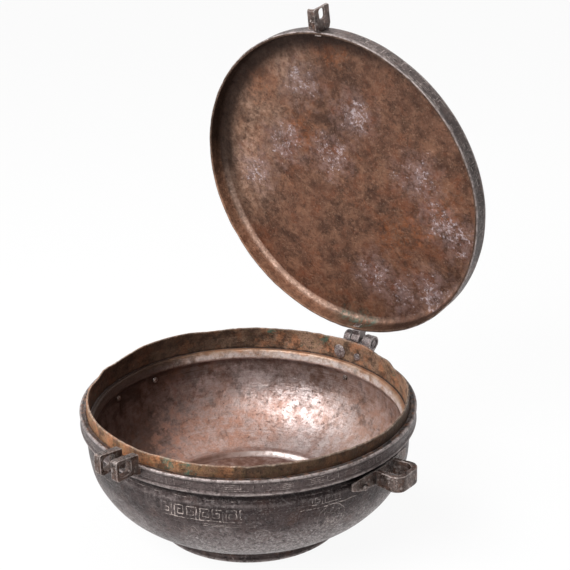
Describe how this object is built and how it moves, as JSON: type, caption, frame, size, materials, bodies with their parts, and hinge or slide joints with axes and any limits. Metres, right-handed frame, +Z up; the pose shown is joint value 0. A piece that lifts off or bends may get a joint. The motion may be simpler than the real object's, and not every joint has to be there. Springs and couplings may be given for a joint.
{
  "type": "covered bowl",
  "caption": "Round-bellied metal bowl on a low foot ring, with a raised rim band, an upright inner collar, a shallow hinged lid, a hasp and two side handles.",
  "frame": {"origin": "on the table, below the middle of the whole object's extents as it stands with the lid open", "axes": "+Z up, the hasp towards -Y, the hinge towards +Y, the handles at +X and -X"},
  "size_m": [0.2292, 0.234, 0.3008],
  "materials": {
    "dark_bronze": "dark brown-grey patina, rubbed on the edges",
    "coppery_bronze": "orange-brown with green spots",
    "lid_bronze": "mottled brown",
    "worn_bronze": "rubbed grey"
  },
  "bodies": {
    "bowl": {"bowl_shell": "dark_bronze", "foot_ring": "dark_bronze", "rim_collar": "coppery_bronze", "hinge_knuckle_left": "worn_bronze", "hinge_knuckle_right": "worn_bronze", "hinge_pin": "worn_bronze", "hinge_wall_rivet": "worn_bronze", "hasp_lug_left": "dark_bronze", "hasp_lug_right": "dark_bronze", "handle_loop_right": "dark_bronze", "handle_plate_right": "dark_bronze", "handle_rivet_right_front": "worn_bronze", "handle_rivet_right_back": "worn_bronze", "handle_loop_left": "dark_bronze", "handle_plate_left": "dark_bronze", "handle_rivet_left_front": "worn_bronze", "handle_rivet_left_back": "worn_bronze"},
    "lid": {"lid_pan": "lid_bronze", "lid_hinge_knuckle": "worn_bronze", "lid_hasp_tongue": "dark_bronze"}
  },
  "joints": [
    {"name": "lid_hinge", "type": "hinge", "parent": "bowl", "child": "lid", "pos_m": [0.0052, 0.10938, 0.0801], "axis": [1, 0, 0], "range_deg": [-24.6, 80.4]}
  ]
}
